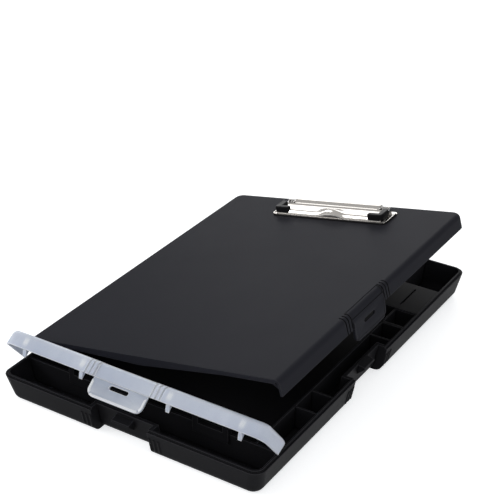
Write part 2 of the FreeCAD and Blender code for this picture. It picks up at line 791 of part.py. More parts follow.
def clip_base_plate():
    """Stamped plate with an upturned rim, two ears for the pin and two rivet holes."""
    half = clip_width / 2
    low = lid_top
    sheet = clip_sheet
    plate = block(-half, half, clip_front, clip_back, low, low + sheet)
    upright = [edge for edge in plate.Edges if abs(edge.BoundBox.ZLength - sheet) < seat_clearance]
    plate = plate.makeFillet(clip_corner_radius, upright)
    top = low + clip_rim_height
    rim = block(-half, half, clip_front, clip_axis.y, low, top)
    front_edges = [edge for edge in rim.Edges
                   if edge.BoundBox.ZLength > sheet and edge.BoundBox.YMax < clip_front + sheet]
    rim = rim.makeFillet(clip_corner_radius, front_edges)
    inner = block(-half + sheet, half - sheet, clip_front + sheet, clip_axis.y + overrun,
                  low - overrun, top + overrun)
    inner_edges = [edge for edge in inner.Edges
                   if edge.BoundBox.ZLength > overrun and edge.BoundBox.YMax < clip_front + overrun]
    inner = inner.makeFillet(clip_corner_radius - sheet, inner_edges)
    pieces = [plate, rim.cut(inner)]
    for side in (-1, 1):
        x0 = side * clip_ear_place - sheet / 2
        ear = rod(clip_ear_radius, V(x0, clip_axis.y, clip_axis.z), V(x0 + sheet, clip_axis.y, clip_axis.z))
        points = [V(x0, clip_axis.y + clip_ear_radius, clip_axis.z),
                  V(x0, clip_back, low + sheet / 2),
                  V(x0, clip_back - clip_ear_foot, low + sheet / 2),
                  V(x0, clip_axis.y - clip_ear_radius * math.sqrt(0.5),
                    clip_axis.z + clip_ear_radius * math.sqrt(0.5))]
        pieces.append(ear.fuse(prism(points, V(sheet, 0, 0))))
    whole = fused(pieces)
    bore_end = half + overrun
    whole = whole.cut(rod(clip_pin_radius + seat_clearance, V(-bore_end, clip_axis.y, clip_axis.z),
                          V(bore_end, clip_axis.y, clip_axis.z)))
    for x in (-clip_rivet_place, clip_rivet_place):
        whole = whole.cut(rod(clip_rivet_shank_radius + seat_clearance,
                              V(x, clip_rivet_row, low - overrun), V(x, clip_rivet_row, top)))
    return whole


def lever_section(x0, x1):
    """The lever's bent sheet: plate, rounded front bend and the lip that grips the paper."""
    top = clip_axis.z + clip_lever_rise
    sheet = clip_sheet
    bend = 2 * sheet
    lip_low = lid_top + sheet + moving_gap
    front = clip_lever_front
    k = bend * (1 - math.sqrt(0.5))
    inner_bend = bend - sheet
    j = inner_bend * (1 - math.sqrt(0.5))
    back = clip_axis.y
    outer = [V(x0, back, top), V(x0, front + bend, top), V(x0, front + k, top - k),
             V(x0, front, top - bend), V(x0, front, lip_low)]
    inner = [V(x0, front + sheet, lip_low), V(x0, front + sheet, top - bend),
             V(x0, front + sheet + j, top - sheet - j), V(x0, front + bend, top - sheet),
             V(x0, back, top - sheet)]
    edges = [Part.LineSegment(outer[0], outer[1]).toShape(),
             Part.Arc(outer[1], outer[2], outer[3]).toShape(),
             Part.LineSegment(outer[3], outer[4]).toShape(),
             Part.LineSegment(outer[4], inner[0]).toShape(),
             Part.LineSegment(inner[0], inner[1]).toShape(),
             Part.Arc(inner[1], inner[2], inner[3]).toShape(),
             Part.LineSegment(inner[3], inner[4]).toShape(),
             Part.LineSegment(inner[4], outer[0]).toShape()]
    return Part.Face(Part.Wire(edges)).extrude(V(x1 - x0, 0, 0))


def roof():
    """Half-round roof over the pin with a skirt at the back and a cheek at each end."""
    wide = clip_roof_half_width
    radius = clip_roof_radius
    start = V(-wide, clip_axis.y, clip_axis.z)
    stop = V(wide, clip_axis.y, clip_axis.z)
    inner = radius - clip_sheet
    tube = rod(radius, start, stop).cut(rod(inner, start, stop))
    upper = block(-wide, wide, clip_axis.y - radius, clip_axis.y + radius, clip_axis.z,
                  clip_axis.z + radius)
    skirt = block(-wide, wide, clip_axis.y + inner, clip_axis.y + radius,
                  clip_axis.z - clip_roof_skirt, clip_axis.z)
    pieces = [tube.common(upper), skirt]
    for side in (-1, 1):
        inside = V(side * (wide - clip_sheet), clip_axis.y, clip_axis.z)
        outside = V(side * wide, clip_axis.y, clip_axis.z)
        pieces.append(rod(clip_cheek_radius, inside, outside))
        pieces.append(rod(radius, inside, outside).common(upper))
    return pieces


def crown():
    """Low wave pressed up in the middle of the lever's front edge, hollow underneath."""
    half = clip_crown_half_width
    rise = clip_crown_rise
    top = clip_axis.z + clip_lever_rise
    radius = (half ** 2 + rise ** 2) / (2 * rise)
    x = clip_crown_place
    front = clip_lever_front
    back = front + clip_crown_depth
    shells = []
    for inset in (0, clip_sheet):
        arc_radius = radius - inset
        centre = V(x, front - overrun, top + rise - radius)
        arch = rod(arc_radius, centre, V(x, back, centre.z))
        slope = [V(x - half, front + inset, top - clip_sheet), V(x - half, front + inset, top + rise),
                 V(x - half, front + 2 * clip_sheet, top + rise), V(x - half, back, top - inset),
                 V(x - half, back, top - clip_sheet)]
        shells.append(arch.common(prism(slope, V(2 * half, 0, 0))))
    return shells


def clip_lever():
    """Bent lever: flat plate with a turned-down lip, a crowned front edge and the roof."""
    wide = clip_lever_half_width
    lever = lever_section(-wide, wide)
    notch_front = clip_axis.y - clip_roof_radius - clip_ear_radius
    for side in (-1, 1):
        x0, x1 = sorted((side * clip_roof_half_width, side * (wide + overrun)))
        lever = lever.cut(block(x0, x1, notch_front, clip_axis.y + overrun,
                                lid_top, clip_axis.z + clip_roof_radius))
    hollow = rod(clip_roof_radius - clip_sheet, V(-wide, clip_axis.y, clip_axis.z),
                 V(wide, clip_axis.y, clip_axis.z))
    lever = lever.cut(hollow)
    for piece in roof():
        lever = lever.fuse(piece)
    raised, under = crown()
    lever = lever.fuse(raised).cut(under)
    end = clip_roof_half_width + overrun
    lever = lever.cut(rod(clip_pin_radius + pin_clearance, V(-end, clip_axis.y, clip_axis.z),
                          V(end, clip_axis.y, clip_axis.z)))
    return lever.removeSplitter()


def clip_grip(side, lever):
    """L-shaped plastic cap that wraps one front corner of the lever."""
    cover = grip_cover_thickness
    outer_x = clip_lever_half_width + cover
    front = clip_lever_front - cover
    top = clip_axis.z + clip_lever_rise + grip_top_thickness
    low = lid_top + clip_sheet + 2 * moving_gap
    arm = block(outer_x - grip_arm_length, outer_x, front, front + grip_arm_width, low, top)
    leg = block(outer_x - grip_leg_width, outer_x, front, front + grip_leg_length, low, top)
    cap = arm.fuse(leg).removeSplitter()
    corner = [edge for edge in cap.Edges
              if edge.BoundBox.ZLength > clip_rim_height
              and edge.BoundBox.XMin > outer_x - seat_clearance
              and edge.BoundBox.YMax < front + seat_clearance]
    cap = cap.makeFillet(grip_corner_radius, corner)
    upper = edges_at(cap, top)
    cap = cap.makeFillet(grip_edge_radius, upper)
    if side < 0:
        cap = cap.mirror(V(0, 0, 0), V(1, 0, 0))
    return cap.cut(lever)


def clip_pin():
    half = clip_ear_place + clip_sheet / 2 + seat_clearance
    shaft = rod(clip_pin_radius, V(-half, clip_axis.y, clip_axis.z), V(half, clip_axis.y, clip_axis.z))
    heads = []
    for side in (-1, 1):
        start = V(side * half, clip_axis.y, clip_axis.z)
        heads.append(rod(clip_pin_head_radius, start, start.add(V(side * clip_pin_head_length, 0, 0))))
    return fused([shaft] + heads)


def clip_rivets():
    """Two rivets that hold the clip's plate to the lid."""
    rivets = []
    low = lid_top - lid_plate - clip_washer_thickness
    top = lid_top + clip_sheet
    tail = clip_rivet_head_height / 2
    for x in (-clip_rivet_place, clip_rivet_place):
        foot = V(x, clip_rivet_row, low - tail)
        shank = rod(clip_rivet_shank_radius, foot, V(x, clip_rivet_row, top))
        head = rod(clip_rivet_head_radius, V(x, clip_rivet_row, top),
                   V(x, clip_rivet_row, top + clip_rivet_head_height))
        head = head.makeFillet(tail, edges_at(head, top + clip_rivet_head_height))
        closed = rod(clip_rivet_head_radius, foot, V(x, clip_rivet_row, low))
        rivets.append(fused([shank, head, closed]))
    return Part.makeCompound(rivets)


def clip_washers():
    """Washers under the lid that spread the rivets' load."""
    washers = []
    top = lid_top - lid_plate
    for x in (-clip_rivet_place, clip_rivet_place):
        low = V(x, clip_rivet_row, top - clip_washer_thickness)
        disc = rod(clip_washer_radius, low, V(x, clip_rivet_row, top))
        hole = rod(clip_rivet_shank_radius + seat_clearance, low.sub(V(0, 0, overrun)),
                   V(x, clip_rivet_row, top + overrun))
        washers.append(disc.cut(hole))
    return Part.makeCompound(washers)


def arc_from_tangent(start, tangent, stop):
    """Circular arc that leaves a point along a tangent and ends at another point."""
    chord = stop.sub(start)
    length = chord.Length
    along = V(chord).normalize()
    side = tangent.sub(along * tangent.dot(along))
    angle = math.acos(max(-1.0, min(1.0, tangent.dot(along))))
    side.normalize()
    middle = start.add(chord * 0.5).add(side * (length / 2 * math.tan(angle / 2)))
    return Part.Arc(start, middle, stop).toShape()


def biarc(p0, t0, p1, t1):
    """Two tangent arcs between two points with given directions."""
    v = p1.sub(p0)
    t = t0.add(t1)
    a = 2 * (1 - t0.dot(t1))
    b = v.dot(t)
    d = (math.sqrt(b * b + a * v.dot(v)) - b) / a
    joint = p0.add(p1).add(t0.sub(t1) * d) * 0.5
    back = arc_from_tangent(p1, t1 * -1, joint)
    return [arc_from_tangent(p0, t0, joint), back]


def spring_path(centre_x):
    """Points and directions of a torsion spring's coil: bottom of the pin round to its top."""
    rise = spring_pitch / (2 * math.pi)
    start_angle = -math.pi / 2
    quarters = 4 * spring_turns + 2
    start_x = centre_x - spring_pitch * quarters / 8
    marks = []
    for index in range(quarters + 1):
        turn = index * math.pi / 2
        angle = start_angle + turn
        place = V(start_x + rise * turn, clip_axis.y + spring_coil_radius * math.cos(angle),
                  clip_axis.z + spring_coil_radius * math.sin(angle))
        heading = V(rise, -spring_coil_radius * math.sin(angle), spring_coil_radius * math.cos(angle))
        marks.append((place, heading.normalize()))
    return marks


def clip_spring(side, name):
    """Torsion spring on the clip's pin, one leg over the lever and one on the plate."""
    marks = spring_path(-spring_place)
    first, first_heading = marks[0]
    last, last_heading = marks[-1]
    tail = first.sub(first_heading * spring_leg_length)
    tip = last.add(last_heading * spring_leg_length)
    edges = [Part.LineSegment(tail, first).toShape()]
    for (p0, t0), (p1, t1) in zip(marks, marks[1:]):
        edges += biarc(p0, t0, p1, t1)
    edges.append(Part.LineSegment(last, tip).toShape())
    spine = Part.Wire(Part.__sortEdges__(edges))
    circle = Part.Circle(tail, first_heading, spring_wire_radius).toShape()
    tube = spine.makePipeShell([Part.Wire(circle)], True, False)
    print(name, "least gap to itself", round(least_gap(edges), 3), "length", round(spine.Length, 1),
          "volume check", round(tube.Volume / (spine.Length * math.pi * spring_wire_radius ** 2), 4))
    return tube.mirror(V(0, 0, 0), V(1, 0, 0)) if side > 0 else tube


def least_gap(edges):
    """Smallest distance between stretches of the wire that are not neighbours, less its diameter."""
    samples = []
    run = 0.0
    for edge in edges:
        count = max(2, int(edge.Length / spring_wire_radius))
        for index in range(count):
            share = edge.FirstParameter + (edge.LastParameter - edge.FirstParameter) * index / count
            samples.append((edge.valueAt(share), run + edge.Length * index / count))
        run += edge.Length
    least = None
    apart = math.pi * spring_coil_radius
    for index, (point, place) in enumerate(samples):
        for other, other_place in samples[index + 1:]:
            if abs(other_place - place) > apart:
                gap = point.distanceToPoint(other)
                least = gap if least is None else min(least, gap)
    return least - 2 * spring_wire_radius


def hinge_pin(zone_centre):
    half = hinge_zone_length / 2 - moving_gap
    return rod(hinge_pin_radius, V(hinge_axis.x, zone_centre - half, hinge_axis.z),
               V(hinge_axis.x, zone_centre + half, hinge_axis.z))


def cover_pin(side):
    half = cover_hinge_length / 2 - moving_gap
    centre = side * cover_hinge_centre
    return rod(cover_pin_radius, V(centre - half, cover_axis.y, cover_axis.z),
               V(centre + half, cover_axis.y, cover_axis.z))


def build():
    save(base_tray(), "base_tray")
    save(hinge_pin(-hinge_zone_centre), "lid_hinge_pin_front")
    save(hinge_pin(hinge_zone_centre), "lid_hinge_pin_back")
    save(cover_pin(-1), "cover_hinge_pin_left")
    save(cover_pin(1), "cover_hinge_pin_right")
    save(with_cover(pen_cover()), "pen_cover")
    save(with_cover(cover_latch()), "cover_latch")
    save(with_lid(lid_shell()), "lid_shell")
    save(with_lid(lid_latch()), "lid_latch")
    save(with_clip(clip_base_plate()), "clip_base_plate")
    lever = clip_lever()
    save(with_clip(lever), "clip_lever")
    save(with_clip(clip_grip(-1, lever)), "clip_grip_left")
    save(with_clip(clip_grip(1, lever)), "clip_grip_right")
    save(with_clip(clip_pin()), "clip_pivot_pin")
    save(with_clip(clip_rivets()), "clip_rivets")
    save(with_clip(clip_washers()), "clip_washers")
    save(with_clip(clip_spring(-1, "clip_spring_left")), "clip_spring_left")
    save(with_clip(clip_spring(1, "clip_spring_right")), "clip_spring_right")


build()
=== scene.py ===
import bmesh
import bpy
import math
from mathutils import Matrix, Vector


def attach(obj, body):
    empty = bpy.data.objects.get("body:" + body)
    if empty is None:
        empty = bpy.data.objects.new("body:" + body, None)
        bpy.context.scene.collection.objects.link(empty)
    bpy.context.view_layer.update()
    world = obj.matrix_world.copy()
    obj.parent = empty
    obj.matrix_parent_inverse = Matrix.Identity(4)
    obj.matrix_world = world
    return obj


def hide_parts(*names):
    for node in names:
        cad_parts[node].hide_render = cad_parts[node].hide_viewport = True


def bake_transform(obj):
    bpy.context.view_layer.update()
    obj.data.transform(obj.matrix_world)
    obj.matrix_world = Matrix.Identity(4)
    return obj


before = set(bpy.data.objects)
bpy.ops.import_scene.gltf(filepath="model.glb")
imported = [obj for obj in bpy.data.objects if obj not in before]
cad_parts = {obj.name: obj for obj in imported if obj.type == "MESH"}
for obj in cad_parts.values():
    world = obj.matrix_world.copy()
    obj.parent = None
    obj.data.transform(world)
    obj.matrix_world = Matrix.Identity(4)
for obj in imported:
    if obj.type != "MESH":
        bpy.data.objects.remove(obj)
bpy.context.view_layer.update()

# Tray
# The tray is one injection moulding in black polypropylene with drafted walls, a raised lip
# round its rim, an accessory strip with dividers and a pen compartment across the front. Its
# satin skin comes from the mould, with a fine grain and softly rounded edges. Edges high on the
# moulding are painted lighter, partly as wear and partly as painted highlight, and grooves and
# corners are darkened with painted shade.
edge_samples = 6
painted_shade_samples = 8
painted_shade_reach = 0.003
rub_and_highlight_starts_at = 0.017
rub_and_highlight_full_at = 0.021


def start_material(name):
    material = bpy.data.materials.new(name)
    material.use_nodes = True
    nodes = material.node_tree.nodes
    return material, nodes, material.node_tree.links, nodes["Principled BSDF"]


def add_node(nodes, kind, values=(), **settings):
    node = nodes.new(kind)
    for setting, value in settings.items():
        setattr(node, setting, value)
    for socket, value in dict(values).items():
        node.inputs[socket].default_value = value
    return node


def two_tones(nodes, first, second, start, stop):
    tones = nodes.new("ShaderNodeValToRGB")
    tones.color_ramp.elements[0].position = start
    tones.color_ramp.elements[0].color = (*first, 1.0)
    tones.color_ramp.elements[1].position = stop
    tones.color_ramp.elements[1].color = (*second, 1.0)
    return tones


def edge_mask(nodes, links, rounded, flat_level, edge_level):
    flat = nodes.new("ShaderNodeNewGeometry")
    agree = add_node(nodes, "ShaderNodeVectorMath", operation="DOT_PRODUCT")
    links.new(rounded.outputs["Normal"], agree.inputs[0])
    links.new(flat.outputs["True Normal"], agree.inputs[1])
    edge = add_node(nodes, "ShaderNodeMapRange", {"From Min": flat_level, "From Max": edge_level})
    links.new(agree.outputs["Value"], edge.inputs["Value"])
    return edge


def raise_skin(nodes, links, shader, height, strength, depth, under=None):
    bump = add_node(nodes, "ShaderNodeBump", {"Strength": strength, "Distance": depth})
    links.new(height, bump.inputs["Height"])
    if under is not None:
        links.new(under, bump.inputs["Normal"])
    links.new(bump.outputs["Normal"], shader.inputs["Normal"])


def moulded_plastic(name, dark, light, sheen, specular, grain_size, grain_depth, edge_radius, rub_and_highlight):
    material, nodes, links, shader = start_material(name)
    place = nodes.new("ShaderNodeTexCoord")
    flow = add_node(nodes, "ShaderNodeTexNoise", {"Scale": 7.0, "Detail": 4.0})
    links.new(place.outputs["Object"], flow.inputs["Vector"])
    colour = two_tones(nodes, dark, light, 0.35, 0.68)
    links.new(flow.outputs["Fac"], colour.inputs["Fac"])

    rounded = add_node(nodes, "ShaderNodeBevel", {"Radius": edge_radius}, samples=edge_samples)
    # Painted highlight, partly wear: edges high on the moulding are mixed towards a lighter
    # colour.
    edge = edge_mask(nodes, links, rounded, 0.995, 0.9)
    parts = nodes.new("ShaderNodeSeparateXYZ")
    links.new(place.outputs["Object"], parts.inputs["Vector"])
    high = add_node(nodes, "ShaderNodeMapRange",
                    {"From Min": rub_and_highlight_starts_at, "From Max": rub_and_highlight_full_at})
    links.new(parts.outputs["Z"], high.inputs["Value"])
    rubbed_and_highlit_edges = add_node(nodes, "ShaderNodeMath", operation="MULTIPLY")
    links.new(edge.outputs["Result"], rubbed_and_highlit_edges.inputs[0])
    links.new(high.outputs["Result"], rubbed_and_highlit_edges.inputs[1])
    rub_and_highlight_mix = add_node(nodes, "ShaderNodeMix", {"B": (*rub_and_highlight, 1.0)}, data_type="RGBA")
    links.new(rubbed_and_highlit_edges.outputs["Value"], rub_and_highlight_mix.inputs["Factor"])
    links.new(colour.outputs["Color"], rub_and_highlight_mix.inputs["A"])

    # Painted shade: the colour is darkened where ambient occlusion finds grooves, corners and
    # recesses.
    painted_groove_shade = add_node(nodes, "ShaderNodeAmbientOcclusion", {"Distance": painted_shade_reach},
                      samples=painted_shade_samples)
    shade = add_node(nodes, "ShaderNodeMapRange",
                     {"From Min": 0.4, "From Max": 0.85, "To Min": 0.15, "To Max": 1.0})
    links.new(painted_groove_shade.outputs["AO"], shade.inputs["Value"])
    darker = add_node(nodes, "ShaderNodeVectorMath", operation="SCALE")
    links.new(rub_and_highlight_mix.outputs["Result"], darker.inputs[0])
    links.new(shade.outputs["Result"], darker.inputs["Scale"])
    links.new(darker.outputs["Vector"], shader.inputs["Base Color"])

    smear = add_node(nodes, "ShaderNodeTexNoise", {"Scale": 26.0, "Detail": 5.0})
    links.new(place.outputs["Object"], smear.inputs["Vector"])
    polish = add_node(nodes, "ShaderNodeMapRange", {"To Min": sheen[0], "To Max": sheen[1]})
    links.new(smear.outputs["Fac"], polish.inputs["Value"])
    links.new(polish.outputs["Result"], shader.inputs["Roughness"])
    shader.inputs["Specular IOR Level"].default_value = specular

    grain = add_node(nodes, "ShaderNodeTexVoronoi", {"Scale": grain_size})
    links.new(place.outputs["Object"], grain.inputs["Vector"])
    raise_skin(nodes, links, shader, grain.outputs["Distance"], 0.4, grain_depth,
               rounded.outputs["Normal"])
    return material


def dress(node, material):
    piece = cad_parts[node]
    piece.data.materials.clear()
    piece.data.materials.append(material)


tray_plastic = moulded_plastic(
    "tray_plastic", dark=(0.0085, 0.0085, 0.0098), light=(0.0125, 0.0125, 0.0142),
    sheen=(0.4, 0.5), specular=0.02, grain_size=1400.0, grain_depth=0.00003,
    edge_radius=0.0008, rub_and_highlight=(0.045, 0.045, 0.05))
dress("base_tray", tray_plastic)

# Hinge pins
# Cold-drawn steel wire, cut to length and pressed through the tray's barrels: two pins for
# the lid along the left edge and two thinner ones for the pen cover behind its compartment.
drawing_stretch = (0.05, 1.0, 1.0)


def drawn_steel(name, tint, rough, line_size, line_depth):
    material, nodes, links, shader = start_material(name)
    shader.inputs["Metallic"].default_value = 1.0
    place = nodes.new("ShaderNodeTexCoord")
    stretch = add_node(nodes, "ShaderNodeMapping", {"Scale": drawing_stretch})
    links.new(place.outputs["Object"], stretch.inputs["Vector"])
    lines = add_node(nodes, "ShaderNodeTexNoise", {"Scale": line_size, "Detail": 3.0})
    links.new(stretch.outputs["Vector"], lines.inputs["Vector"])
    tone = two_tones(nodes, [part * 0.8 for part in tint], tint, 0.0, 1.0)
    links.new(lines.outputs["Fac"], tone.inputs["Fac"])
    links.new(tone.outputs["Color"], shader.inputs["Base Color"])
    polish = add_node(nodes, "ShaderNodeMapRange", {"To Min": rough * 0.7, "To Max": rough * 1.3})
    links.new(lines.outputs["Fac"], polish.inputs["Value"])
    links.new(polish.outputs["Result"], shader.inputs["Roughness"])
    raise_skin(nodes, links, shader, lines.outputs["Fac"], 0.25, line_depth)
    return material


pin_steel = drawn_steel("pin_steel", tint=(0.36, 0.36, 0.37), rough=0.3, line_size=1400.0,
                        line_depth=0.00003)
for pin in ("lid_hinge_pin_front", "lid_hinge_pin_back",
            "cover_hinge_pin_left", "cover_hinge_pin_right"):
    dress(pin, pin_steel)

# Lid
# The clipboard lid is a second moulding in the same black plastic, with a finer and drier
# grain on its writing surface. Its barrels interlock with the tray's along the left edge.
lid_plastic = moulded_plastic(
    "lid_plastic", dark=(0.0155, 0.016, 0.0205), light=(0.0175, 0.018, 0.023),
    sheen=(0.42, 0.48), specular=0.014, grain_size=2200.0, grain_depth=0.00004,
    edge_radius=0.0009, rub_and_highlight=(0.034, 0.0345, 0.039))
dress("lid_shell", lid_plastic)

# Latch tabs
# Each tab is moulded in one with its lid or cover and bends at a thin web. Its lower corners
# are round, a low bead stiffens its edge, and its slot drops over the catch on the tray.
lid_swing = math.radians(10.7)
lid_axis = Vector((-0.1207, 0.0, 0.02345))
lid_turn = Matrix.Rotation(-lid_swing, 4, "Y")
tab_width = 0.05
tab_thickness = 0.0018
tab_corner = 0.006
tab_edge_radius = 0.0003
bead_width = 0.0016
web_height = 0.0022
slot_length = 0.0175
slot_height = 0.0036
front_face = -0.175
side_face = 0.1205
square_on = 0.9
weld_distance = 0.00002
smooth_up_to = math.radians(32)


def take_up(piece):
    bpy.ops.object.select_all(action="DESELECT")
    piece.select_set(True)
    bpy.context.view_layer.objects.active = piece


def edit(piece):
    take_up(piece)
    bpy.ops.object.mode_set(mode="EDIT")


def pick(piece, kind, wanted):
    mesh = bmesh.from_edit_mesh(piece.data)
    for part in list(mesh.verts) + list(mesh.edges) + list(mesh.faces):
        part.select = False
    bpy.context.tool_settings.mesh_select_mode = (kind == "VERT", kind == "EDGE", kind == "FACE")
    for part in {"VERT": mesh.verts, "EDGE": mesh.edges, "FACE": mesh.faces}[kind]:
        if wanted(part):
            part.select_set(True)
    mesh.select_flush_mode()
    bmesh.update_edit_mesh(piece.data)


def span(edge, axis):
    near, far = edge.verts
    return abs(near.co[axis] - far.co[axis])


def push_out(move):
    bpy.ops.mesh.extrude_region_move(TRANSFORM_OT_translate={"value": move})


def leave_edit():
    bpy.ops.object.mode_set(mode="OBJECT")


def box_at(name, place, size):
    bpy.ops.object.select_all(action="DESELECT")
    bpy.ops.mesh.primitive_cube_add(size=1.0, location=place)
    piece = bpy.context.object
    piece.name = name
    piece.scale = size
    bpy.ops.object.transform_apply(location=True, rotation=True, scale=True)
    return piece


def finish_modifier(piece, modifier):
    take_up(piece)
    bpy.ops.object.modifier_apply(modifier=modifier.name)


def soften(piece, width, segments, angle):
    bevel = piece.modifiers.new("softened_edges", "BEVEL")
    bevel.width = width
    bevel.segments = segments
    bevel.limit_method = "ANGLE"
    bevel.angle_limit = math.radians(angle)
    finish_modifier(piece, bevel)


def set_place(piece, matrix):
    piece.matrix_world = matrix
    take_up(piece)
    bpy.ops.object.transform_apply(location=True, rotation=True, scale=True)


def swing_with_lid(piece):
    set_place(piece, Matrix.Translation(lid_axis) @ lid_turn @ Matrix.Translation(-lid_axis))


def outward(piece):
    edit(piece)
    bpy.ops.mesh.select_all(action="SELECT")
    bpy.ops.mesh.remove_doubles(threshold=weld_distance)
    bpy.ops.mesh.normals_make_consistent(inside=False)
    leave_edit()


def dress_piece(piece, material, node):
    take_up(piece)
    bpy.ops.object.shade_smooth_by_angle(angle=smooth_up_to)
    piece.data.materials.clear()
    piece.data.materials.append(material)
    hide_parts(node)


def latch_tab(name, centre, top, bottom, slot_level, lean, bead_height):
    tab = box_at(name, (centre, front_face + tab_thickness / 2, (top + bottom) / 2),
                 (tab_width, tab_thickness, top - bottom))
    web = top - web_height

    def on_front(face, below):
        return face.normal.y < -square_on and face.calc_center_median().z < below

    edit(tab)
    pick(tab, "EDGE", lambda edge: span(edge, 0) < tab_thickness / 2
         and all(vert.co.z < bottom + tab_thickness / 2 for vert in edge.verts))
    bpy.ops.mesh.bevel(offset=tab_corner, segments=9, affect="EDGES")
    bpy.ops.mesh.select_all(action="SELECT")
    bpy.ops.mesh.bisect(plane_co=(0.0, 0.0, web), plane_no=(0.0, 0.0, 1.0))
    pick(tab, "FACE", lambda face: on_front(face, web))
    bpy.ops.mesh.inset(thickness=bead_width, depth=0.0)
    inner_top = web - bead_width * 0.75
    inner_reach = tab_width / 2 - bead_width * 1.1
    pick(tab, "FACE", lambda face: on_front(face, inner_top)
         and (abs(face.calc_center_median().x - centre) > inner_reach
              or face.calc_center_median().z < bottom + bead_width))
    push_out((0.0, -bead_height, 0.0))
    pick(tab, "VERT", lambda vert: vert.co.z > top - tab_thickness / 4
         and vert.co.y < front_face + lean / 2)
    bpy.ops.transform.translate(value=(0.0, lean, 0.0))
    leave_edit()

    cutter = box_at("slot_cutter", (centre, front_face, slot_level),
                    (slot_length, 6 * tab_thickness, slot_height))
    edit(cutter)
    pick(cutter, "EDGE", lambda edge: span(edge, 1) > tab_thickness)
    bpy.ops.mesh.bevel(offset=slot_height * 0.48, segments=6, affect="EDGES")
    leave_edit()
    slot = tab.modifiers.new("catch_slot", "BOOLEAN")
    slot.operation = "DIFFERENCE"
    slot.solver = "EXACT"
    slot.object = cutter
    finish_modifier(tab, slot)
    bpy.data.objects.remove(cutter, do_unlink=True)
    soften(tab, tab_edge_radius, 3, 34)
    return tab


lid_tab = latch_tab("lid_latch_tab", centre=-0.0056, top=0.03127, bottom=0.0113,
                    slot_level=0.0229, lean=0.00058, bead_height=0.0005)
set_place(lid_tab, Matrix.Translation((side_face + front_face, 0.0, 0.0))
          @ Matrix.Rotation(math.pi / 2, 4, "Z"))
swing_with_lid(lid_tab)
dress_piece(lid_tab, lid_plastic, "lid_latch")
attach(lid_tab, "lid_tab")

# Pen cover and its latch
# Translucent polypropylene with a frosted skin: thin walls let the dark compartment show
# faintly. Ribs, pegs and edges are painted whiter, as painted light for the light that passes
# through more plastic there and as painted highlights on rounded edges.
painted_light_white = (0.92, 0.94, 0.97, 1.0)
thick_wall = 0.004
wall_samples = 8
cover_edge_radius = 0.001


def frosted_polypropylene(name, thin, thicker):
    material, nodes, links, shader = start_material(name)
    place = nodes.new("ShaderNodeTexCoord")
    stretch = add_node(nodes, "ShaderNodeMapping", {"Scale": (1.0, 0.35, 0.35)})
    links.new(place.outputs["Object"], stretch.inputs["Vector"])
    streaks = add_node(nodes, "ShaderNodeTexNoise", {"Scale": 34.0, "Detail": 4.0})
    links.new(stretch.outputs["Vector"], streaks.inputs["Vector"])
    colour = two_tones(nodes, thin, thicker, 0.3, 0.7)
    links.new(streaks.outputs["Fac"], colour.inputs["Fac"])

    # Painted light: thick places and rounded edges are mixed towards white, for light through the
    # plastic and edge highlights.
    wall = add_node(nodes, "ShaderNodeAmbientOcclusion", {"Distance": thick_wall},
                    inside=True, samples=wall_samples)
    thick = add_node(nodes, "ShaderNodeMapRange", {"From Min": 0.3, "From Max": 0.7})
    links.new(wall.outputs["AO"], thick.inputs["Value"])
    rounded = add_node(nodes, "ShaderNodeBevel", {"Radius": cover_edge_radius},
                       samples=edge_samples)
    edge = edge_mask(nodes, links, rounded, 0.99, 0.85)
    painted_light_mask = add_node(nodes, "ShaderNodeMath", operation="MAXIMUM")
    links.new(thick.outputs["Result"], painted_light_mask.inputs[0])
    links.new(edge.outputs["Result"], painted_light_mask.inputs[1])
    painted_light_mix = add_node(nodes, "ShaderNodeMix", {"B": painted_light_white}, data_type="RGBA")
    links.new(painted_light_mask.outputs["Value"], painted_light_mix.inputs["Factor"])
    links.new(colour.outputs["Color"], painted_light_mix.inputs["A"])
    links.new(painted_light_mix.outputs["Result"], shader.inputs["Base Color"])

    shader.inputs["Roughness"].default_value = 0.42
    shader.inputs["Subsurface Weight"].default_value = 0.6
    shader.inputs["Subsurface Radius"].default_value = (1.0, 1.0, 1.0)
    shader.inputs["Subsurface Scale"].default_value = 0.002
    shader.inputs["Transmission Weight"].default_value = 0.3
    shader.inputs["IOR"].default_value = 1.49
    frost = add_node(nodes, "ShaderNodeTexNoise", {"Scale": 1900.0})
    links.new(place.outputs["Object"], frost.inputs["Vector"])
    raise_skin(nodes, links, shader, frost.outputs["Fac"], 0.3, 0.00003,
               rounded.outputs["Normal"])
    return material


frosted_plastic = frosted_polypropylene("frosted_plastic", thin=(0.46, 0.515, 0.635),
                                        thicker=(0.63, 0.68, 0.78))
# Painted shade: a darker copy of the same frosted plastic, used for the latch tab.
frosted_shaded_web = frosted_polypropylene("frosted_shaded_web", thin=(0.36, 0.41, 0.515),
                                    thicker=(0.48, 0.53, 0.625))
# Painted highlight: a lighter copy of the same frosted plastic, used for the tab's raised bead.
frosted_highlit_bead = frosted_polypropylene("frosted_highlit_bead", thin=(0.8, 0.83, 0.89),
                                     thicker=(0.86, 0.89, 0.93))
dress("pen_cover", frosted_plastic)
cover_swing = math.radians(51.5)
cover_axis = Vector((0.0, -0.143, 0.0314))
cover_bead_height = 0.0006
cover_tab = latch_tab("cover_latch_tab", centre=-0.0042, top=0.02357, bottom=0.0085,
                      slot_level=0.0198, lean=0.0004, bead_height=cover_bead_height)
on_bead = [face.center.y < front_face - cover_bead_height / 4
           for face in cover_tab.data.polygons]
set_place(cover_tab, Matrix.Translation(cover_axis) @ Matrix.Rotation(-cover_swing, 4, "X")
          @ Matrix.Translation(-cover_axis))
dress_piece(cover_tab, frosted_shaded_web, "cover_latch")
cover_tab.data.materials.append(frosted_highlit_bead)
for face, raised in zip(cover_tab.data.polygons, on_bead):
    face.material_index = 1 if raised else 0
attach(cover_tab, "cover_tab")

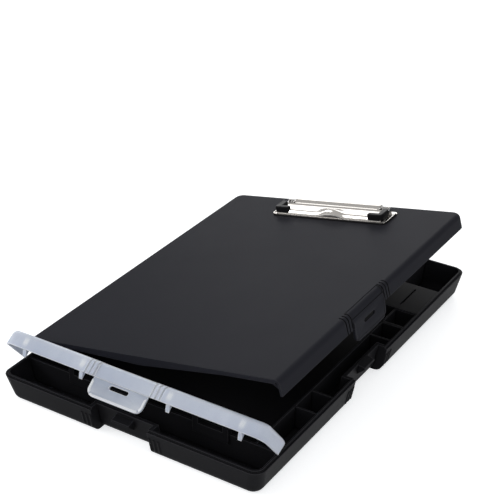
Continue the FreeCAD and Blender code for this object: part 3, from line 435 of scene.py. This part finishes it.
# Clip's base plate
# Spring steel sheet, stamped with rounded corners, its front and sides turned up into a low
# rim and two ears left standing for the pin. It is nickel plated and riveted to the lid.
nickel = drawn_steel("nickel", tint=(0.4, 0.383, 0.363), rough=0.13, line_size=900.0,
                     line_depth=0.00002)
clip_middle = 0.005
lid_top = 0.0368
pin_line = Vector((clip_middle, 0.1545, 0.041))
plate_width = 0.118
plate_front = 0.1315
plate_back = 0.159
sheet = 0.001
plate_top = lid_top + sheet
plate_corner = 0.004
plate_edge_radius = 0.00022
rim_rise = 0.001
rim_line = plate_width / 2 - sheet * 1.2
ear_radius = 0.0032
ear_place = 0.052
ear_spread = 1.12


def round_at(name, radius, depth, place):
    bpy.ops.object.select_all(action="DESELECT")
    bpy.ops.mesh.primitive_cylinder_add(vertices=40, radius=radius, depth=depth, location=place,
                                        rotation=(0.0, math.pi / 2, 0.0))
    piece = bpy.context.object
    piece.name = name
    bpy.ops.object.transform_apply(location=True, rotation=True, scale=True)
    return piece


def join_to(piece, others):
    take_up(piece)
    for other in others:
        other.select_set(True)
    bpy.ops.object.join()


def on_rim(face):
    middle = face.calc_center_median()
    narrow = face.calc_area() < plate_width * sheet * 1.1
    at_side = abs(middle.x - clip_middle) > rim_line - plate_corner
    return (face.normal.z > square_on and middle.y < pin_line.y and narrow
            and (at_side or middle.y < plate_front + sheet))


clip_plate = box_at("clip_plate",
                    (clip_middle, (plate_front + plate_back) / 2, lid_top + sheet / 2),
                    (plate_width, plate_back - plate_front, sheet))
edit(clip_plate)
pick(clip_plate, "EDGE", lambda edge: span(edge, 2) > sheet / 2)
bpy.ops.mesh.bevel(offset=plate_corner, segments=7, affect="EDGES")
pick(clip_plate, "FACE", lambda face: face.normal.z > square_on)
bpy.ops.mesh.inset(thickness=sheet, depth=0.0)
bpy.ops.mesh.select_all(action="SELECT")
bpy.ops.mesh.bisect(plane_co=pin_line, plane_no=(0.0, 1.0, 0.0))
pick(clip_plate, "FACE", on_rim)
push_out((0.0, 0.0, rim_rise))
leave_edit()
ears = []
for side in (-1, 1):
    ear = round_at("ear", ear_radius, sheet,
                   (clip_middle + side * ear_place, pin_line.y, pin_line.z))
    edit(ear)
    pick(ear, "VERT", lambda vert: vert.co.z < pin_line.z - sheet / 2)
    bpy.ops.transform.resize(value=(1.0, ear_spread, 0.0),
                             center_override=(clip_middle, pin_line.y, plate_top - sheet / 3))
    leave_edit()
    ears.append(ear)
join_to(clip_plate, ears)
soften(clip_plate, plate_edge_radius, 2, 40)
swing_with_lid(clip_plate)
dress_piece(clip_plate, nickel, "clip_base_plate")
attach(clip_plate, "lid")

# Clip's springs
# Two torsion springs of hard-drawn wire on the pin, one at each end of the roof. The lower leg
# bears on the base plate and the upper leg on the lever. The real coil winds as the clip opens;
# here each spring is built at rest and does not move with the lever.
spring_steel = drawn_steel("spring_steel", tint=(0.4, 0.39, 0.38), rough=0.22,
                           line_size=1600.0, line_depth=0.00002)
wire_radius = 0.0005
wire_sides = 12
coil_radius = 0.0024
coil_pitch = 0.0015
coil_turns = 3.5
coil_steps = 84
coil_length = coil_pitch * coil_turns
spring_leg = 0.0059
spring_middle = 0.04775
coil_start = clip_middle - spring_middle - coil_length / 2
coil_low = pin_line.z - coil_radius
coil_high = pin_line.z + coil_radius
end_reach = wire_radius * 1.5


def at_coil_start(edge):
    return (edge.is_boundary and abs(edge.verts[0].co.z - coil_low) < end_reach
            and edge.verts[0].co.x < coil_start + end_reach)


def at_coil_stop(edge):
    return (edge.is_boundary and abs(edge.verts[0].co.z - coil_high) < end_reach
            and edge.verts[0].co.x > coil_start + coil_length - end_reach)


for side, spring_node in ((-1, "clip_spring_left"), (1, "clip_spring_right")):
    bpy.ops.object.select_all(action="DESELECT")
    bpy.ops.mesh.primitive_circle_add(vertices=wire_sides, radius=wire_radius,
                                      rotation=(math.pi / 2, 0.0, 0.0),
                                      location=(coil_start, pin_line.y, coil_low))
    spring = bpy.context.object
    spring.name = spring_node + "_wire"
    bpy.context.scene.cursor.location = (coil_start, pin_line.y, pin_line.z)
    bpy.ops.object.origin_set(type="ORIGIN_CURSOR")
    take_up(spring)
    bpy.ops.object.transform_apply(location=False, rotation=True, scale=True)
    winding = spring.modifiers.new("winding", "SCREW")
    winding.axis = "X"
    winding.angle = 2 * math.pi * coil_turns
    winding.screw_offset = coil_length
    winding.steps = coil_steps
    winding.render_steps = coil_steps
    finish_modifier(spring, winding)
    bpy.ops.object.transform_apply(location=True, rotation=True, scale=True)
    edit(spring)
    for coil_end in (at_coil_start, at_coil_stop):
        pick(spring, "EDGE", coil_end)
        bpy.ops.mesh.extrude_edges_move(
            TRANSFORM_OT_translate={"value": (0.0, -spring_leg, 0.0)})
        bpy.ops.mesh.edge_face_add()
    if side > 0:
        bpy.ops.mesh.select_all(action="SELECT")
        bpy.ops.transform.resize(value=(-1.0, 1.0, 1.0),
                                 center_override=(clip_middle, pin_line.y, pin_line.z))
    leave_edit()
    outward(spring)
    swing_with_lid(spring)
    dress_piece(spring, spring_steel, spring_node)
    for reach in (spring_middle + coil_length / 2, spring_middle - coil_length / 2):
        coil_end = Vector((clip_middle + side * reach, pin_line.y, pin_line.z))
    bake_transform(spring)

# Clip's lever
# The same nickel-plated sheet, bent to a flat plate with a turned-down lip, a low wave pressed
# up in its front edge, a bead along its back, and a half-round roof that turns on the pin.
lever_half = 0.0545
lever_columns = 54
lever_front = -0.0204
lever_edge_radius = 0.00018
plate_rise = 0.0017
lip_foot = -0.0028
lip_slope = 0.0013
lip_length = 0.0008
bend = 0.0016
bend_steps = 5
flat_rows = (-0.0168, -0.0148, -0.0128, -0.0108, -0.009)
back_bead = ((-0.0084, 0.0003), (-0.0079, 0.0009), (-0.0073, 0.0011), (-0.0067, 0.0009),
             (-0.0062, 0.0003), (-0.0056, 0.0), (-0.005, 0.0))
roof_half = 0.044
roof_radius = 0.0042
roof_start = 148
roof_step = 10.6
roof_steps = 15
roof_foot = -0.0012
wave_middle = clip_middle + 0.003
wave_half = 0.016
wave_rise = 0.0036
wave_rows = ((-0.021, -0.0182, 1.0), (-0.017, -0.0166, 0.82), (-0.015, -0.0146, 0.5),
             (-0.013, -0.0126, 0.2), (-0.011, -0.0106, 0.04))

lever_line = [(lever_front - lip_slope, lip_foot + lip_length),
              (lever_front - lip_slope * 0.2, plate_rise - bend)]
for step in range(1, bend_steps + 1):
    turn = math.pi - step * math.pi / (2 * bend_steps)
    lever_line.append((lever_front + bend + bend * math.cos(turn),
                       plate_rise - bend + bend * math.sin(turn)))
lever_line += [(row, plate_rise) for row in flat_rows]
lever_line += [(row, plate_rise + rise) for row, rise in back_bead]
for step in range(roof_steps):
    turn = math.radians(roof_start - step * roof_step)
    lever_line.append((roof_radius * math.cos(turn), roof_radius * math.sin(turn)))
lever_line.append((roof_radius, roof_foot))

bpy.ops.object.select_all(action="DESELECT")
bpy.ops.mesh.primitive_grid_add(x_subdivisions=lever_columns, y_subdivisions=1, size=1.0,
                                rotation=(math.pi / 2, 0.0, 0.0),
                                location=(clip_middle, pin_line.y + lever_front - lip_slope,
                                          pin_line.z + lip_foot + lip_length / 2))
lever = bpy.context.object
lever.name = "clip_lever_plate"
lever.scale = (2 * lever_half, lip_length, 1.0)
bpy.ops.object.transform_apply(location=True, rotation=True, scale=True)
edit(lever)
upper_edge = pin_line.z + lip_foot + lip_length - 0.0001
pick(lever, "EDGE", lambda edge: all(vert.co.z > upper_edge for vert in edge.verts))
for near, far in zip(lever_line, lever_line[1:]):
    push_out((0.0, far[0] - near[0], far[1] - near[1]))
notch_front = pin_line.y - 0.006
pick(lever, "FACE", lambda face: abs(face.calc_center_median().x - clip_middle) > roof_half
     and face.calc_center_median().y > notch_front)
bpy.ops.mesh.delete(type="FACE")
column_width = 2 * lever_half / lever_columns
columns = sorted({round(clip_middle - lever_half + column * column_width, 7)
                  for column in range(lever_columns + 1)})
wave_floor = pin_line.z - 0.0004
for place in [column for column in columns if abs(column - wave_middle) < wave_half]:
    height = wave_rise * math.cos((place - wave_middle) / wave_half * math.pi / 2) ** 2
    for row_front, row_back, share in wave_rows:
        pick(lever, "VERT", lambda vert: abs(vert.co.x - place) < column_width / 3
             and row_front < vert.co.y - pin_line.y < row_back and vert.co.z > wave_floor)
        bpy.ops.transform.translate(value=(0.0, 0.0, height * share))
leave_edit()
wall = lever.modifiers.new("sheet_thickness", "SOLIDIFY")
wall.thickness = sheet
wall.offset = -1.0
wall.use_even_offset = True
finish_modifier(lever, wall)
cheeks = []
for side in (-1, 1):
    cheek = round_at("cheek", roof_radius - sheet / 2, sheet,
                     (clip_middle + side * (roof_half - sheet / 2), pin_line.y, pin_line.z))
    edit(cheek)
    pick(cheek, "VERT", lambda vert: vert.co.z < pin_line.z - sheet / 2)
    bpy.ops.transform.resize(value=(1.0, 0.94, 0.62), center_override=pin_line)
    leave_edit()
    cheeks.append(cheek)
join_to(lever, cheeks)
soften(lever, lever_edge_radius, 2, 50)
swing_with_lid(lever)
dress_piece(lever, nickel, "clip_lever")
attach(lever, "lever")

# Clip's grips
# Soft satin caps in black vinyl, dip-moulded over the lever's two front corners, so that the
# thumb doesn't slip. Each is an L with round edges that wraps the corner from all sides.
grip_vinyl = moulded_plastic(
    "grip_vinyl", dark=(0.006, 0.006, 0.0068), light=(0.009, 0.009, 0.0098),
    sheen=(0.24, 0.34), specular=0.04, grain_size=1100.0, grain_depth=0.00002,
    edge_radius=0.0002, rub_and_highlight=(0.009, 0.009, 0.0098))
grip_outer = 0.0558
grip_front = lever_front - 0.0011
grip_top = plate_rise + 0.0026
grip_foot = lid_top + 0.0017 - pin_line.z
grip_height = grip_top - grip_foot
grip_corner = 0.0026
grip_edge_radius = 0.0009
arm_length = 0.0145
arm_width = 0.0048
leg_width = 0.0054
leg_length = 0.015
leg_start = grip_outer - leg_width
corner_x = grip_outer - sheet / 10
corner_y = pin_line.y + grip_front + sheet / 10
for side, grip_node in ((-1, "clip_grip_left"), (1, "clip_grip_right")):
    grip = box_at(grip_node + "_cap",
                  (clip_middle + side * (grip_outer - arm_length / 2),
                   pin_line.y + grip_front + arm_width / 2,
                   pin_line.z + (grip_top + grip_foot) / 2),
                  (arm_length, arm_width, grip_height))
    edit(grip)
    bpy.ops.mesh.select_all(action="SELECT")
    bpy.ops.mesh.bisect(plane_co=(clip_middle + side * leg_start, 0.0, 0.0),
                        plane_no=(1.0, 0.0, 0.0))
    pick(grip, "FACE", lambda face: face.normal.y > square_on
         and side * (face.calc_center_median().x - clip_middle) > leg_start)
    push_out((0.0, leg_length - arm_width, 0.0))
    pick(grip, "EDGE", lambda edge: all(side * (vert.co.x - clip_middle) > corner_x
                                        and vert.co.y < corner_y for vert in edge.verts))
    bpy.ops.mesh.bevel(offset=grip_corner, segments=6, affect="EDGES")
    leave_edit()
    outward(grip)
    soften(grip, grip_edge_radius, 4, 40)
    swing_with_lid(grip)
    dress_piece(grip, grip_vinyl, grip_node)
    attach(grip, "lever")

# Clip's pin, rivets and washers
# The pin is drawn steel with a formed head at each ear. Two nickel-plated rivets with steel
# washers under the lid hold the clip on.
dress("clip_rivets", nickel)
for fastener in ("clip_pivot_pin", "clip_washers"):
    dress(fastener, pin_steel)

# Floor, lamps and camera
# A plain white floor that shows as white and keeps the shadow, four soft lamps behind, in
# front, on the left and on the right, and the camera at the photograph's angle.
floor_size = 8.0
floor_drop = 0.0002
floor_grey = (0.8, 0.8, 0.81, 1.0)
seen_grey = (0.74, 0.74, 0.74, 1.0)
seen_white = (0.97, 0.985, 1.0, 1.0)
seen_strength = 0.64
room_strength = 0.5
room_seen_strength = 1.0
azimuth = math.radians(32.44)
elevation = math.radians(28.74)
camera_distance = 1.27197
camera_aim = Vector((-0.08778, 0.14063, -0.0012))
focal_length_in_pixels = 1320.69
picture_width = 500.0
sensor_width = 36.0


def seen_rays(nodes, links):
    path = nodes.new("ShaderNodeLightPath")
    seen = path.outputs["Is Camera Ray"]
    for kind in ("Is Glossy Ray", "Is Transmission Ray"):
        either = add_node(nodes, "ShaderNodeMath", operation="MAXIMUM")
        links.new(seen, either.inputs[0])
        links.new(path.outputs[kind], either.inputs[1])
        seen = either.outputs["Value"]
    return seen


def soft_lamp(name, place, aim, size, power):
    light = bpy.data.lights.new(name, "AREA")
    light.shape = "RECTANGLE"
    light.size = size[0]
    light.size_y = size[1]
    light.energy = power
    lamp = bpy.data.objects.new(name, light)
    bpy.context.scene.collection.objects.link(lamp)
    lamp.location = place
    lamp.rotation_euler = (Vector(aim) - Vector(place)).to_track_quat("-Z", "Y").to_euler()


bpy.ops.object.select_all(action="DESELECT")
bpy.ops.mesh.primitive_plane_add(size=floor_size, location=(0.0, 0.0, -floor_drop))
floor = bpy.context.object
floor.name = "floor"
floor_white = bpy.data.materials.new("floor_white")
floor_white.use_nodes = True
nodes = floor_white.node_tree.nodes
links = floor_white.node_tree.links
nodes.clear()
surface = nodes.new("ShaderNodeOutputMaterial")
plain = add_node(nodes, "ShaderNodeBsdfDiffuse", {"Color": floor_grey})
seen_shade = add_node(nodes, "ShaderNodeBsdfDiffuse", {"Color": seen_grey})
seen_glow = add_node(nodes, "ShaderNodeEmission",
                     {"Color": seen_white, "Strength": seen_strength})
seen = nodes.new("ShaderNodeAddShader")
links.new(seen_shade.outputs["BSDF"], seen.inputs[0])
links.new(seen_glow.outputs["Emission"], seen.inputs[1])
choice = nodes.new("ShaderNodeMixShader")
links.new(seen_rays(nodes, links), choice.inputs["Fac"])
links.new(plain.outputs["BSDF"], choice.inputs[1])
links.new(seen.outputs["Shader"], choice.inputs[2])
links.new(choice.outputs["Shader"], surface.inputs["Surface"])
floor.data.materials.append(floor_white)

world = bpy.data.worlds.new("studio_world")
bpy.context.scene.world = world
world.use_nodes = True
nodes = world.node_tree.nodes
links = world.node_tree.links
background = nodes["Background"]
background.inputs["Color"].default_value = (1.0, 1.0, 1.0, 1.0)
strength = add_node(nodes, "ShaderNodeMapRange",
                    {"To Min": room_strength, "To Max": room_seen_strength})
links.new(seen_rays(nodes, links), strength.inputs["Value"])
links.new(strength.outputs["Result"], background.inputs["Strength"])

soft_lamp("back_lamp", place=(-0.5, 1.1, 0.6), aim=(0.0, 0.1, 0.04), size=(1.0, 0.7), power=6.4)
soft_lamp("front_lamp", place=(0.5, -1.2, 1.2), aim=(0.0, 0.0, 0.03), size=(1.2, 0.9), power=4.5)
soft_lamp("side_lamp", place=(-0.8, -0.7, 0.45), aim=(-0.12, -0.16, 0.04), size=(0.6, 0.4),
          power=4.6)
soft_lamp("right_lamp", place=(1.1, -0.45, 0.4), aim=(0.0, 0.0, 0.03), size=(0.5, 0.4), power=2.2)

back = Vector((math.sin(azimuth) * math.cos(elevation), -math.cos(azimuth) * math.cos(elevation),
               math.sin(elevation)))
camera_data = bpy.data.cameras.new("camera")
camera = bpy.data.objects.new("camera", camera_data)
bpy.context.scene.collection.objects.link(camera)
camera.location = camera_aim + back * camera_distance
camera.rotation_euler = (-back).to_track_quat("-Z", "Y").to_euler()
camera_data.sensor_width = sensor_width
camera_data.lens = focal_length_in_pixels / picture_width * sensor_width
bpy.context.scene.camera = camera
bpy.context.scene.view_settings.view_transform = "Standard"
